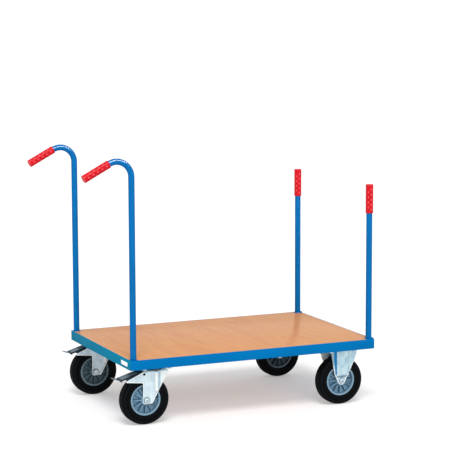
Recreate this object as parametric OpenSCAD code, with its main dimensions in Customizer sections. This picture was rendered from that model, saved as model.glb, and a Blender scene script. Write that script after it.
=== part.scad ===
// Stake cart: a welded steel frame with a flush deck board, two push bars at the swivel end,
// two lift-out stakes at the other end, two braked swivel casters and two fixed casters.
// +X runs from the push bars to the stakes, +Z is up, and the wheels stand on Z = 0.

/* [Frame] */
// Length of the frame over its short rails
frame_l = 1080; // [900:10:1400]
// Width of the frame over its long rails
frame_w = 710; // [640:10:900]
// Height of the rails' outer faces
rail_h = 40; // [40:1:60]
// Thickness of the rails' sheet
rail_t = 2.5; // [2:0.5:3]
// Width of the ledge that carries the deck board
ledge_w = 30; // [29:1:40]
// How far the rails reach below the casters' mounting faces
rail_drop = 5; // [3:1:8]
// Thickness of the deck board
deck_t = 16; // [12:1:17]
// Gap between the deck board and the rails
deck_gap = 0.5; // [0.2:0.1:1.5]
// Thickness of the cross channels
channel_t = 4; // [3:0.5:4]
// Width of the middle cross channel
middle_channel_w = 50; // [40:5:80]
// Diameter of the deck screws
deck_screw_d = 4; // [3:0.5:5]
// Depth of the deck screws in the board
deck_screw_grip = 11; // [8:1:11]

/* [Push bars and stakes] */
// Outer diameter of the tube of the push bars and stakes
tube_d = 25; // [22:0.5:26]
// Wall of that tube
tube_t = 2; // [1.5:0.1:3]
// Height of the stakes above the deck
stake_h = 644; // [400:2:1000]
// Height of the push bars above the deck
push_h = 797; // [700:1:1000]
// Radius of the push bars' bend on the tube's centre line
bend_r = 62; // [45:1:80]
// Angle of the push bars' bend
bend_angle = 118; // [95:1:135]
// Radial clearance of a tube in its socket
socket_gap = 0.3; // [0.2:0.05:0.5]
// Thinnest wall of the square sockets
socket_t = 2.7; // [2:0.1:3.5]
// How far the stakes' sockets stand above the deck
socket_rise = 5; // [2:0.5:8]
// Thickness of the sockets' floors
socket_floor_t = 3; // [2:0.5:5]
// Diameter of the drain hole in a socket's floor
drain_d = 8; // [4:1:14]
// Diameter of the screws that hold the push bars
clamp_screw_d = 6; // [4:1:8]

/* [Grips] */
// Length of a grip
grip_l = 118; // [90:1:140]
// Outer diameter of a grip
grip_d = 32; // [31:0.5:38]
// Thickness of a grip's closed end
grip_cap_t = 4; // [2:0.5:8]
// Rounding of a grip's end edges
grip_edge = 2; // [0.5:0.25:3]
// Distance from the end of a push bar's bend to its grip
grip_start = 2; // [0:0.5:20]

/* [Label plate] */
// Length of the blank label plate
label_l = 69; // [40:1:120]
// Height of the label plate
label_h = 16; // [10:1:24]
// Thickness of the label plate
label_t = 0.8; // [0.5:0.1:1.5]
// Distance from the near long rail's outer face to the middle of the label plate
label_y = 70; // [65:1:300]

/* [Wheels] */
// Diameter of a wheel
wheel_d = 200; // [160:5:220]
// Width of a tyre
wheel_w = 50; // [40:1:54]
// Diameter of the wheel centre that carries the tyre
rim_d = 126; // [110:1:136]
// Radial thickness of the wheel centre's outer band
rim_band_t = 8; // [5:0.5:10]
// Width of that band
rim_band_w = 42; // [30:1:44]
// Thickness of the wheel centre's web
rim_web_t = 6; // [3:0.5:10]
// Number of ribs on the wheel centre
rib_n = 12; // [6:1:16]
// Thickness of those ribs
rib_t = 3; // [2:0.5:4]
// Diameter of the hub
hub_d = 40; // [36:1:46]
// Rounding of the tyre's shoulders
shoulder_r = 12; // [6:1:16]
// Diameter of the axle bolts
axle_d = 12; // [8:1:14]
// Outer diameter of the axle sleeves, on which the rollers run
sleeve_d = 20; // [18:0.5:22]
// Diameter of the bearing rollers
roller_d = 3.9; // [3:0.1:4.5]
// Number of rollers in a bearing
roller_n = 10; // [6:1:12]

/* [Casters] */
// Height from the top of a tyre to the caster's mounting face
head_h = 35; // [35:1:50]
// Distance from a swivel axis back to its wheel's axle
trail = 42; // [30:1:44]
// Distance from the push bar end of the frame to the swivel axes
swivel_setback = 118; // [100:1:200]
// Distance from the stake end of the frame to the fixed axles
fixed_setback = 138; // [100:1:200]
// Distance from a long rail's outer face to the middle of a caster
caster_edge = 57; // [56:1:100]
// Length of a caster's top plate
plate_l = 140; // [136:1:150]
// Width of a caster's top plate
plate_w = 105; // [100:1:106]
// Thickness of a caster's top plate
plate_t = 5; // [4:0.5:6]
// Spacing of the mounting bolts along the cart
bolt_x = 105; // [100:1:110]
// Spacing of the mounting bolts across the cart
bolt_y = 80; // [76:1:80]
// Diameter of the mounting bolts
bolt_d = 10; // [8:1:10]
// Radial clearance of the mounting bolts in their holes
bolt_gap = 0.5; // [0.3:0.1:1]
// Thickness of the forks and brackets
fork_t = 3; // [2.5:0.5:4]
// Clearance between a tyre and the fork on each side
wheel_gap = 3; // [2:0.5:5]
// Thickness of a fork's crown
crown_t = 5; // [4:0.5:6]
// Diameter of the king pins
king_pin_d = 12; // [10:1:14]
// Diameter of the large ball race
race_d = 62; // [56:1:64]

/* [Brakes] */
// Slope of a brake pedal when it is released
pedal_slope = 17; // [14:1:20]
// Length of a brake pedal from its pin
pedal_l = 98; // [92:1:110]
// Width of a brake pedal's tread beyond the fork
pedal_w = 60; // [56:1:62]
// Thickness of a brake pedal's sheet
pedal_t = 2.5; // [2:0.5:3]
// Number of ribs on a brake pedal's tread
pedal_rib_n = 6; // [3:1:8]
// Diameter of a brake pedal's pin
pedal_pin_d = 6; // [5:0.5:8]
// Gap between a released brake shoe and its tyre
shoe_gap = 8.5; // [8.5:0.1:10]

/* [Hidden] */
near = -1;
far = 1;
push_end = -1;
stake_end = 1;
blue = [0.0, 0.46, 0.76];
beech = [0.89, 0.66, 0.49];
red = [0.9, 0.12, 0.15];
zinc = [0.8, 0.86, 0.89];
black = [0.06, 0.06, 0.07];
slate = [0.42, 0.52, 0.6];
charcoal = [0.2, 0.22, 0.24];
steel = [0.62, 0.64, 0.66];
white = [0.96, 0.96, 0.96];
$fn = 64;
cut = 1;

// Heights
axle_z = wheel_d / 2;
mount_z = wheel_d + head_h;
rail_z = mount_z - rail_drop;
deck_z = rail_z + rail_h;
board_z = deck_z - deck_t;
ledge_z = board_z - rail_t;
plate_z = mount_z - plate_t;

// Places of the tubes, seen from above and measured from the middle of the deck
tube_r = tube_d / 2;
socket_bore_r = tube_r + socket_gap;
socket_half = socket_bore_r + socket_t;
tube_x = frame_l / 2 - rail_t - socket_half;
tube_y = frame_w / 2 - rail_t - socket_half;
socket_z = rail_z + 1;
floor_z = socket_z + socket_floor_t;
notch_gap = 0.4;

// The push bars' bend and the reach of their grips beyond the frame
bend_z = deck_z + push_h - tube_r - bend_r;
grip_end = grip_start + grip_l;
push_reach = tube_x + bend_r * (1 - cos(bend_angle)) + (grip_end - grip_edge) * sin(bend_angle)
    - (grip_d / 2 - grip_edge) * cos(bend_angle) + grip_edge;
deck_x = (push_reach - frame_l / 2) / 2;

// Places of the casters
swivel_x = swivel_setback - frame_l / 2;
swivel_axle_x = swivel_x - trail;
fixed_x = frame_l / 2 - fixed_setback;
caster_y = frame_w / 2 - caster_edge;

// Frame details
inner_l = frame_l - 2 * rail_t;
inner_w = frame_w - 2 * rail_t;
channel_rim = 5;
channel_w = plate_l + 2 * channel_rim;
cope_gap = 1;
king_pin_hole_r = 16;
deck_screw_head_r = deck_screw_d;
deck_screw_gap = 0.3;
deck_screw_head_h = 2.4;
long_screw_x = [-0.25, -0.1, 0.1, 0.25] * frame_l;
short_screw_y = [-0.21, 0.21] * frame_w;
label_drop = 1.5;

// Mounting hardware, as shares of the bolt's diameter where it is a standard part
hex_r = 0.92 * bolt_d;
bolt_head_h = 0.64 * bolt_d;
nut_h = 0.8 * bolt_d;
washer_t = 2;
washer_r = bolt_d;
bolt_end = 1;
bolt_hole_r = bolt_d / 2 + bolt_gap;

// Swivel head, from the top plate down
race_gap = 11;
ball_play = 0.2;
ball_d = race_gap - 2 * ball_play;
ball_n = 16;
crown_z = plate_z - race_gap;
skirt_h = 3.5;
skirt_t = 2.5;
skirt_r = race_d / 2 + ball_d / 2 + 1.5;
small_race_d = 34;
small_gap = 5;
small_ball_d = small_gap - 2 * ball_play;
small_ball_n = 16;
cup_z = crown_z - crown_t - small_gap;
cup_t = 4;
cup_r = small_race_d / 2 + small_ball_d / 2 + 1.5;
pin_head_h = 5;
pin_head_r = 10;
pin_top_h = 3;
pin_top_r = 9;
crown_bore_r = king_pin_d / 2 + 1;

// Fork and bracket
fork_in = wheel_w / 2 + wheel_gap;
fork_out = fork_in + fork_t;
bend_out_r = 8;
bend_in_r = 3;
folded_l = 400;
fork_top = [-46, 52];
crown_rear = -43;
fork_foot = [-14, 27];
fork_corner = 4;
fork_nose_h = 14;
fork_waist = [31, 76];
foot_drop = 14;
ear_x = -84;
ear_low = 71;
ear_tip = [78, 83];
pedal_pin_x = -9;
pedal_pin_z = wheel_d + 6;
pin_cover = 9;
bracket_rear = [[-31, 25], [-38, 61]];
bracket_front = [[29, 25], [43, 52], [59, 84]];
bracket_rear_top = -47;
bracket_skirt_h = 16;
bracket_foot_r = 16;
bead_w = 8;
bead_h = 1.5;
bead_lap = 0.5;
bead_top = 12;
fork_bead = [[-8, 49], [9, 67]];
bracket_bead = [[-12, 32], [15, 32]];

// Axle set
axle_play = 0.1;
axle_head_h = 0.6 * axle_d;
axle_hex_r = 0.87 * axle_d;
axle_washer_r = axle_d;
axle_washer_t = 2;
axle_end = 2;
sleeve_bore_r = axle_d / 2 + axle_play;
roller_play = 0.05;
bearing_r = sleeve_d / 2 + roller_d + 2 * roller_play;
hub_w = 2 * fork_in - 1;
bearing_w = hub_w - 4;
cage_play = 0.6;
cage_end = 4;
cage_gap = 0.2;
sidewall_step = 4;
sidewall_dip = 0.5;
shoulder_end = 10;
rib_step = 3;
lap = 1;

// Brake pedal, in a frame that lies along the pedal with its origin on the pin
tread_z = 8;
flange_t = 2;
flange_out = fork_in - 0.6;
flange_l = 74;
flange_drop = 6;
boss_r = 8;
neck_l = 82;
lip_l = 34;
lip_w = 36;
lip_rise = 16;
lip_t = 2;
tread_start = 2;
tread_skirt = 4;
pedal_rib_w = 1.6;
pedal_rib_h = 1.2;
pedal_rib_x = 22;
shoe_start = 40;
shoe_end = 68;
shoe_w = 36;
shoe_depth = 16;
pin_play = 0.05;
pin_head_flat_r = 5;
pin_head_flat_h = 1.5;

// Points on an arc, for outlines with round corners
function arc(centre, r, from, to, steps = 8) =
    [for (i = [0:steps]) let (a = from + (to - from) * i / steps) centre + r * [cos(a), sin(a)]];

// Puts its children where the deck's middle is
module on_deck() {
    translate([deck_x, 0, 0]) children();
}

// Puts its children on a tube's centre line, at a corner of the frame
module at_tube(end, side) {
    on_deck() translate([end * tube_x, side * tube_y, 0]) children();
}

// Puts its children on a swivel axis
module at_swivel(side) {
    on_deck() translate([swivel_x, side * caster_y, 0]) children();
}

// Puts its children on a wheel's axle, with the axle along Z
module at_axle(x, side) {
    on_deck() translate([x, side * caster_y, axle_z]) rotate([90, 0, 0]) children();
}

module hexagon(r, h) {
    cylinder(r = r, h = h, $fn = 6);
}

// Room for the square sockets at the four corners, between two heights
module socket_notches(low, high) {
    size = 2 * socket_half + notch_gap;
    for (end = [push_end, stake_end], side = [near, far]) at_tube(end, side)
        translate([-end * notch_gap / 2, -side * notch_gap / 2, (low + high) / 2])
            cube([size, size, high - low], center = true);
}

// One rail's wall and ledge, in a length along X, with the outer face towards -Y
module rail_bar(length, ledge_length) {
    translate([-length / 2, 0, rail_z]) cube([length, rail_t, rail_h]);
    translate([-ledge_length / 2, 0, ledge_z]) cube([ledge_length, rail_t + ledge_w, rail_t]);
}

module deck_screw_places() {
    for (x = long_screw_x, side = [near, far])
        on_deck() translate([x, side * (inner_w - ledge_w) / 2, 0]) children();
    for (y = short_screw_y, end = [push_end, stake_end])
        on_deck() translate([end * (inner_l - ledge_w) / 2, y, 0]) children();
}

module deck_screw_holes() {
    deck_screw_places() translate([0, 0, ledge_z - cut])
        cylinder(r = deck_screw_d / 2 + deck_screw_gap, h = rail_t + 2 * cut);
}

module long_rail(side) {
    color(blue) difference() {
        on_deck() mirror([0, side > 0 ? 1 : 0, 0]) translate([0, -frame_w / 2, 0])
            rail_bar(frame_l, inner_l);
        socket_notches(ledge_z - cut, board_z + cut);
        deck_screw_holes();
    }
}

module short_rail(end) {
    color(blue) difference() {
        on_deck() rotate([0, 0, end > 0 ? 90 : -90]) translate([0, -frame_l / 2, 0])
            rail_bar(inner_w, inner_w - 2 * ledge_w);
        socket_notches(ledge_z - cut, board_z + cut);
        deck_screw_holes();
    }
}

// A cross channel, open at the top, with its flanges cut down where they pass under the ledges
module cross_channel(x, width) {
    half = inner_w / 2;
    cope = ledge_w + cope_gap;
    translate([x - width / 2, -half, mount_z]) cube([width, inner_w, channel_t]);
    for (edge = [x - width / 2, x + width / 2 - channel_t]) {
        translate([edge, -half, mount_z]) cube([channel_t, inner_w, ledge_z - mount_z]);
        translate([edge, -half + cope, mount_z])
            cube([channel_t, inner_w - 2 * cope, board_z - mount_z]);
    }
}

// Puts its children at the mounting bolts of the two casters under the channel at x
module bolt_places(x) {
    for (side = [near, far], dx = [-bolt_x / 2, bolt_x / 2], dy = [-bolt_y / 2, bolt_y / 2])
        translate([x + dx, side * caster_y + dy, 0]) children();
}

module caster_channel(x) {
    color(blue) on_deck() difference() {
        cross_channel(x, channel_w);
        bolt_places(x) translate([0, 0, mount_z - cut])
            cylinder(r = bolt_hole_r, h = channel_t + 2 * cut);
        for (side = [near, far]) translate([x, side * caster_y, mount_z - cut])
            cylinder(r = king_pin_hole_r, h = channel_t + 2 * cut);
    }
}

module middle_channel() {
    color(blue) on_deck() cross_channel(0, middle_channel_w);
}

module deck_board() {
    length = inner_l - 2 * deck_gap;
    width = inner_w - 2 * deck_gap;
    color(beech) difference() {
        on_deck() translate([-length / 2, -width / 2, board_z]) cube([length, width, deck_t]);
        socket_notches(board_z - cut, deck_z + cut);
        deck_screw_places() translate([0, 0, board_z - cut])
            cylinder(d = deck_screw_d, h = deck_screw_grip + cut);
    }
}

module deck_screws() {
    color(zinc) deck_screw_places() {
        translate([0, 0, ledge_z - deck_screw_head_h])
            cylinder(r1 = 0.7 * deck_screw_head_r, r2 = deck_screw_head_r, h = deck_screw_head_h);
        translate([0, 0, ledge_z]) cylinder(d = deck_screw_d, h = rail_t + deck_screw_grip);
    }
}

// Puts its children on a push bar's wall, with +Z along the screw and towards the cart's middle
module at_clamp(side) {
    at_tube(push_end, side) translate([0, 0, (floor_z + ledge_z) / 2]) rotate([90 * side, 0, 0])
        translate([0, 0, tube_r]) children();
}

// One square corner socket, closed at the bottom but for its drain hole
module socket(top_z) {
    difference() {
        translate([-socket_half, -socket_half, socket_z])
            cube([2 * socket_half, 2 * socket_half, top_z - socket_z]);
        translate([0, 0, floor_z]) cylinder(r = socket_bore_r, h = top_z - floor_z + cut);
        translate([0, 0, socket_z - cut]) cylinder(d = drain_d, h = socket_floor_t + 2 * cut);
    }
}

module tube_sockets() {
    color(blue) difference() {
        for (side = [near, far]) {
            at_tube(push_end, side) socket(deck_z);
            at_tube(stake_end, side) socket(deck_z + socket_rise);
        }
        for (side = [near, far]) at_clamp(side)
            cylinder(d = clamp_screw_d, h = socket_gap + socket_t + cut);
    }
}

module clamp_screws() {
    shank = socket_gap + socket_t + 1;
    color(zinc) for (side = [near, far]) at_clamp(side) {
        cylinder(d = clamp_screw_d, h = shank);
        translate([0, 0, shank]) hexagon(0.9 * clamp_screw_d, 0.66 * clamp_screw_d);
    }
}

// The outside of a push bar, or its bore when it is given the bore's radius
module push_bar_form(r, spare) {
    translate([0, 0, floor_z - spare]) cylinder(r = r, h = bend_z - floor_z + spare);
    translate([-bend_r, 0, bend_z]) {
        rotate([90, 0, 0]) rotate_extrude(angle = bend_angle) translate([bend_r, 0]) circle(r = r);
        rotate([0, -bend_angle, 0]) translate([bend_r, 0, 0])
            cylinder(r = r, h = grip_end - grip_cap_t + spare);
    }
}

module push_bar(side) {
    color(blue) at_tube(push_end, side) difference() {
        push_bar_form(tube_r, 0);
        push_bar_form(tube_r - tube_t, cut);
    }
}

module stake(side) {
    color(blue) at_tube(stake_end, side) translate([0, 0, floor_z + socket_gap]) difference() {
        length = deck_z + stake_h - grip_cap_t - floor_z - socket_gap;
        cylinder(r = tube_r, h = length);
        translate([0, 0, -cut]) cylinder(r = tube_r - tube_t, h = length + 2 * cut);
    }
}

// A grip that stands on Z = 0 with its closed end up
module grip() {
    r = grip_d / 2;
    bore_l = grip_l - grip_cap_t;
    color(red) rotate_extrude() polygon(concat(
        [[tube_r, bore_l], [tube_r, 0]],
        arc([r - grip_edge, grip_edge], grip_edge, -90, 0),
        arc([r - grip_edge, grip_l - grip_edge], grip_edge, 0, 90),
        [[0, grip_l], [0, bore_l]]));
}

module push_grip(side) {
    at_tube(push_end, side) translate([-bend_r, 0, bend_z]) rotate([0, -bend_angle, 0])
        translate([bend_r, 0, grip_start]) grip();
}

module stake_grip(side) {
    at_tube(stake_end, side) translate([0, 0, deck_z + stake_h - grip_l]) grip();
}

module label_plate() {
    color(white) on_deck()
        translate([-frame_l / 2 - label_t, label_y - frame_w / 2 - label_l / 2,
            rail_z + (rail_h - label_h) / 2 - label_drop])
            cube([label_t, label_l, label_h]);
}

// Puts its children at the mounting bolts of all four casters
module all_bolt_places() {
    on_deck() for (x = [swivel_x, fixed_x]) bolt_places(x) children();
}

module caster_bolts() {
    length = plate_t + channel_t + washer_t + nut_h + bolt_end;
    color(zinc) all_bolt_places() translate([0, 0, plate_z]) {
        translate([0, 0, -bolt_head_h]) hexagon(hex_r, bolt_head_h);
        cylinder(d = bolt_d, h = length);
    }
}

module caster_washers() {
    color(zinc) all_bolt_places() translate([0, 0, mount_z + channel_t]) difference() {
        cylinder(r = washer_r, h = washer_t);
        translate([0, 0, -cut]) cylinder(r = bolt_hole_r, h = washer_t + 2 * cut);
    }
}

module caster_nuts() {
    color(zinc) all_bolt_places() translate([0, 0, mount_z + channel_t + washer_t]) difference() {
        hexagon(hex_r, nut_h);
        translate([0, 0, -cut]) cylinder(d = bolt_d, h = nut_h + 2 * cut);
    }
}

// A caster's top plate with its four holes, centred on the caster
module top_plate() {
    difference() {
        translate([-plate_l / 2, -plate_w / 2, plate_z]) cube([plate_l, plate_w, plate_t]);
        for (dx = [-bolt_x / 2, bolt_x / 2], dy = [-bolt_y / 2, bolt_y / 2])
            translate([dx, dy, plate_z - cut]) cylinder(r = bolt_hole_r, h = plate_t + 2 * cut);
    }
}

module swivel_plate(side) {
    color(zinc) at_swivel(side) difference() {
        union() {
            top_plate();
            translate([0, 0, plate_z - skirt_h]) cylinder(r = skirt_r + skirt_t, h = skirt_h);
        }
        translate([0, 0, plate_z - skirt_h - cut]) cylinder(r = skirt_r, h = skirt_h + cut);
        translate([0, 0, plate_z - cut]) cylinder(d = king_pin_d, h = plate_t + 2 * cut);
    }
}

module king_pins() {
    color(steel) for (side = [near, far]) at_swivel(side) {
        translate([0, 0, cup_z - cup_t]) cylinder(r = cup_r, h = cup_t);
        translate([0, 0, cup_z - cup_t - pin_head_h]) hexagon(pin_head_r, pin_head_h);
        translate([0, 0, cup_z]) cylinder(d = king_pin_d, h = mount_z - cup_z);
        translate([0, 0, mount_z]) cylinder(r1 = pin_top_r, r2 = pin_top_r - 1, h = pin_top_h);
    }
}

module race_balls() {
    color(steel) for (side = [near, far]) at_swivel(side) {
        for (i = [0:ball_n - 1]) rotate([0, 0, i * 360 / ball_n])
            translate([race_d / 2, 0, crown_z + race_gap / 2]) sphere(d = ball_d, $fn = 24);
        for (i = [0:small_ball_n - 1]) rotate([0, 0, i * 360 / small_ball_n])
            translate([small_race_d / 2, 0, cup_z + small_gap / 2])
                sphere(d = small_ball_d, $fn = 24);
    }
}

// A folded channel, open at the bottom, that runs along X: the form a fork is cut from
module folded_form(top_z, top_t, length) {
    out = fork_out;
    in = fork_in;
    rotate([90, 0, 90]) linear_extrude(height = length, center = true) polygon(concat(
        [[-out, 0]],
        arc([-out + bend_out_r, top_z - bend_out_r], bend_out_r, 180, 90),
        arc([out - bend_out_r, top_z - bend_out_r], bend_out_r, 90, 0),
        [[out, 0], [in, 0]],
        arc([in - bend_in_r, top_z - top_t - bend_in_r], bend_in_r, 0, 90),
        arc([-in + bend_in_r, top_z - top_t - bend_in_r], bend_in_r, 90, 180),
        [[-in, 0]]));
}

// Cuts an outline, given along X and Z, right through along Y
module side_cut(points) {
    rotate([90, 0, 0]) linear_extrude(height = 4 * fork_out, center = true) polygon(points);
}

// A pressed stiffening bead on the outer face towards -Y, upright at x
module bead(x, low, high) {
    translate([x, bead_lap - fork_out, low]) linear_extrude(height = high - low)
        polygon([[-bead_w / 2, 0], [-bead_w / 4, -bead_h - bead_lap],
            [bead_w / 4, -bead_h - bead_lap], [bead_w / 2, 0]]);
}

module axle_hole(x) {
    translate([x, 0, axle_z]) rotate([90, 0, 0])
        cylinder(r = axle_d / 2 + axle_play, h = 4 * fork_out, center = true);
}

// The swivel fork: two legs that lean back to the axle, with ears that carry the brake pedal
module swivel_fork(side) {
    wheel_x = -trail;
    foot_z = axle_z - foot_drop;
    pin = [wheel_x + pedal_pin_x, pedal_pin_z];
    outline = [
        [wheel_x + fork_foot[0] + fork_corner, foot_z],
        [wheel_x + fork_foot[0], foot_z + fork_corner],
        [wheel_x + fork_foot[0], axle_z + ear_low],
        [wheel_x + ear_x, axle_z + ear_tip[0]],
        [wheel_x + ear_x, axle_z + ear_tip[1]],
        [pin[0] - fork_corner, pin[1] + pin_cover],
        [fork_top[0], crown_z],
        [fork_top[1] - fork_corner, crown_z],
        [fork_top[1], crown_z - fork_corner],
        [fork_top[1], crown_z - fork_nose_h],
        [fork_waist[0], axle_z + fork_waist[1]],
        [wheel_x + fork_foot[1], foot_z + fork_corner],
        [wheel_x + fork_foot[1] - fork_corner, foot_z]
    ];
    color(zinc) at_swivel(side) difference() {
        union() {
            intersection() {
                folded_form(crown_z, crown_t, folded_l);
                side_cut(outline);
            }
            for (b = fork_bead, y = [0, 1]) mirror([0, y, 0])
                bead(b[0], axle_z + b[1], crown_z - bead_top);
        }
        axle_hole(wheel_x);
        translate([crown_rear - folded_l, -fork_in, crown_z - crown_t - bend_in_r])
            cube([folded_l, 2 * fork_in, crown_t + bend_in_r + cut]);
        translate([pin[0], 0, pin[1]]) rotate([90, 0, 0])
            cylinder(d = pedal_pin_d, h = 4 * fork_out, center = true);
        cylinder(r = crown_bore_r, h = mount_z);
    }
}

// The fixed bracket's leg towards -Y: it tapers down to the axle and leans towards +X
module bracket_leg() {
    outline = concat(
        [[bracket_rear_top, plate_z], [bracket_rear_top, plate_z - bracket_skirt_h]],
        [for (i = [1, 0]) [bracket_rear[i][0], axle_z + bracket_rear[i][1]]],
        arc([0, axle_z], bracket_foot_r, 210, 330, 12),
        [for (p = bracket_front) [p[0], axle_z + p[1]]],
        [[plate_l / 2, plate_z - bracket_skirt_h], [plate_l / 2, plate_z]]);
    intersection() {
        folded_form(mount_z, plate_t, folded_l);
        side_cut(outline);
        translate([-folded_l / 2, -2 * fork_out, 0]) cube([folded_l, 2 * fork_out, mount_z]);
    }
    for (b = bracket_bead) bead(b[0], axle_z + b[1], plate_z - bead_top);
}

// The fixed bracket: a top plate with two legs that lean opposite ways
module fixed_bracket(side) {
    color(zinc) on_deck() translate([fixed_x, side * caster_y, 0]) difference() {
        union() {
            top_plate();
            for (turn = [0, 180]) rotate([0, 0, turn]) bracket_leg();
        }
        axle_hole(0);
    }
}

// An axle bolt along Z with its head at the bottom, and the washer under its nut
module axle_bolt() {
    length = 2 * fork_out + axle_washer_t + axle_head_h + axle_end;
    translate([0, 0, -fork_out - axle_head_h]) hexagon(axle_hex_r, axle_head_h);
    translate([0, 0, -fork_out]) cylinder(d = axle_d, h = length);
}

module axle_nut() {
    translate([0, 0, fork_out]) difference() {
        union() {
            cylinder(r = axle_washer_r, h = axle_washer_t);
            translate([0, 0, axle_washer_t]) hexagon(axle_hex_r, axle_head_h);
        }
        translate([0, 0, -cut]) cylinder(d = axle_d, h = axle_washer_t + axle_head_h + 2 * cut);
    }
}

module axle_sleeve() {
    difference() {
        cylinder(d = sleeve_d, h = 2 * fork_in, center = true);
        cylinder(r = sleeve_bore_r, h = 2 * fork_in + 2 * cut, center = true);
    }
}

// The nut faces outwards on both sides of the cart
module outward(side) {
    rotate([side > 0 ? 180 : 0, 0, 0]) children();
}

module tyre() {
    half = wheel_w / 2;
    r = wheel_d / 2;
    bead_half = rim_band_w / 2;
    color(black) rotate_extrude($fn = 96) polygon(concat(
        [[rim_d / 2, -bead_half], [rim_d / 2 + sidewall_step, sidewall_dip - half]],
        arc([r - shoulder_r, -half + shoulder_r], shoulder_r, -90, -shoulder_end),
        [[r, 0]],
        arc([r - shoulder_r, half - shoulder_r], shoulder_r, shoulder_end, 90),
        [[rim_d / 2 + sidewall_step, half - sidewall_dip], [rim_d / 2, bead_half]]));
}

module rim() {
    band_r = rim_d / 2 - rim_band_t;
    hub_r = hub_d / 2;
    color(slate) difference() {
        union() {
            difference() {
                cylinder(d = rim_d, h = rim_band_w, center = true, $fn = 96);
                cylinder(r = band_r, h = rim_band_w + 2 * cut, center = true, $fn = 96);
            }
            cylinder(r = band_r + lap, h = rim_web_t, center = true, $fn = 96);
            cylinder(r = hub_r, h = hub_w, center = true);
            for (i = [0:rib_n - 1]) rotate([0, 0, i * 360 / rib_n]) translate([0, rib_t / 2, 0])
                rotate([90, 0, 0]) linear_extrude(height = rib_t)
                    polygon([[hub_r - lap, rib_step - hub_w / 2],
                        [band_r + lap, rib_step - rim_band_w / 2],
                        [band_r + lap, rim_band_w / 2 - rib_step],
                        [hub_r - lap, hub_w / 2 - rib_step]]);
        }
        cylinder(r = bearing_r, h = hub_w + 2 * cut, center = true);
    }
}

// A roller bearing: loose rollers in a cage, between the sleeve and the hub
module rollers() {
    pitch_r = sleeve_d / 2 + roller_play + roller_d / 2;
    window_w = bearing_w - 2 * cage_end;
    color(steel) {
        difference() {
            cylinder(r = bearing_r - cage_play, h = bearing_w, center = true);
            cylinder(r = sleeve_d / 2 + cage_play, h = bearing_w + 2 * cut, center = true);
            for (i = [0:roller_n - 1]) rotate([0, 0, i * 360 / roller_n])
                translate([pitch_r, 0, 0])
                    cylinder(d = roller_d + cage_gap, h = window_w, center = true);
        }
        for (i = [0:roller_n - 1]) rotate([0, 0, i * 360 / roller_n]) translate([pitch_r, 0, 0])
            cylinder(d = roller_d, h = window_w - 2 * cage_gap, center = true);
    }
}

// Puts its children in the pedal's own frame: +X out along the pedal, +Z up from its tread
module at_pedal(side) {
    at_swivel(side) translate([pedal_pin_x - trail, 0, pedal_pin_z])
        rotate([0, -pedal_slope, 0]) mirror([1, 0, 0]) children();
}

module brake_pedal(side) {
    flange_in = flange_out - flange_t;
    flange = concat(
        arc([0, 0], boss_r, 100, 280, 12),
        [[flange_l * 0.4, -flange_drop], [flange_l, tread_z - flange_drop],
            [flange_l + tread_skirt, tread_z + lap], [0, tread_z + lap]]);
    color(charcoal) at_pedal(side) difference() {
        union() {
            translate([tread_start, -flange_out, tread_z])
                cube([neck_l - tread_start, 2 * flange_out, pedal_t]);
            translate([neck_l, -pedal_w / 2, tread_z]) cube([pedal_l - neck_l, pedal_w, pedal_t]);
            translate([pedal_l - pedal_t, -pedal_w / 2, tread_z - tread_skirt])
                cube([pedal_t, pedal_w, tread_skirt + pedal_t]);
            translate([pedal_l - pedal_t, -lip_w / 2, tread_z - lip_t])
                rotate([0, -pedal_slope - lip_rise, 0]) cube([lip_l, lip_w, lip_t]);
            for (y = [-flange_out, flange_in]) translate([0, y + flange_t, 0])
                rotate([90, 0, 0]) linear_extrude(height = flange_t) polygon(flange);
            for (i = [0:pedal_rib_n - 1])
                translate([pedal_rib_x, flange_in * (2 * i / (pedal_rib_n - 1) - 1)
                    - pedal_rib_w / 2, tread_z + pedal_t / 2])
                    cube([pedal_l - tread_start - pedal_rib_x, pedal_rib_w,
                        pedal_t / 2 + pedal_rib_h]);
        }
        rotate([90, 0, 0])
            cylinder(r = pedal_pin_d / 2 + pin_play, h = 4 * fork_out, center = true);
    }
}

module brake_shoe(side) {
    color(black) difference() {
        at_pedal(side) translate([shoe_start, -shoe_w / 2, -shoe_depth])
            cube([shoe_end - shoe_start, shoe_w, shoe_depth + tread_z]);
        at_axle(swivel_axle_x, side)
            cylinder(r = wheel_d / 2 + shoe_gap, h = 2 * fork_out, center = true, $fn = 96);
    }
}

module pedal_pin(side) {
    color(zinc) at_swivel(side) translate([pedal_pin_x - trail, 0, pedal_pin_z])
        rotate([90, 0, 0]) {
            cylinder(d = pedal_pin_d, h = 2 * fork_out, center = true);
            for (end = [0, 1]) mirror([0, 0, end]) translate([0, 0, fork_out])
                cylinder(r1 = pin_head_flat_r, r2 = pin_head_flat_r - lap, h = pin_head_flat_h);
        }
}

// The bolt, nut and sleeve of one wheel
module axle_bolt_set(x, sides) {
    color(zinc) for (side = sides) at_axle(x, side) outward(side) axle_bolt();
}

module axle_nut_set(x, sides) {
    color(zinc) for (side = sides) at_axle(x, side) outward(side) axle_nut();
}

module axle_sleeve_set(x, sides) {
    color(steel) for (side = sides) at_axle(x, side) axle_sleeve();
}

module wheel_tyre(x, side) {
    at_axle(x, side) tyre();
}

module wheel_rim(x, side) {
    at_axle(x, side) rim();
}

module wheel_rollers(x, side) {
    at_axle(x, side) rollers();
}

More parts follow.
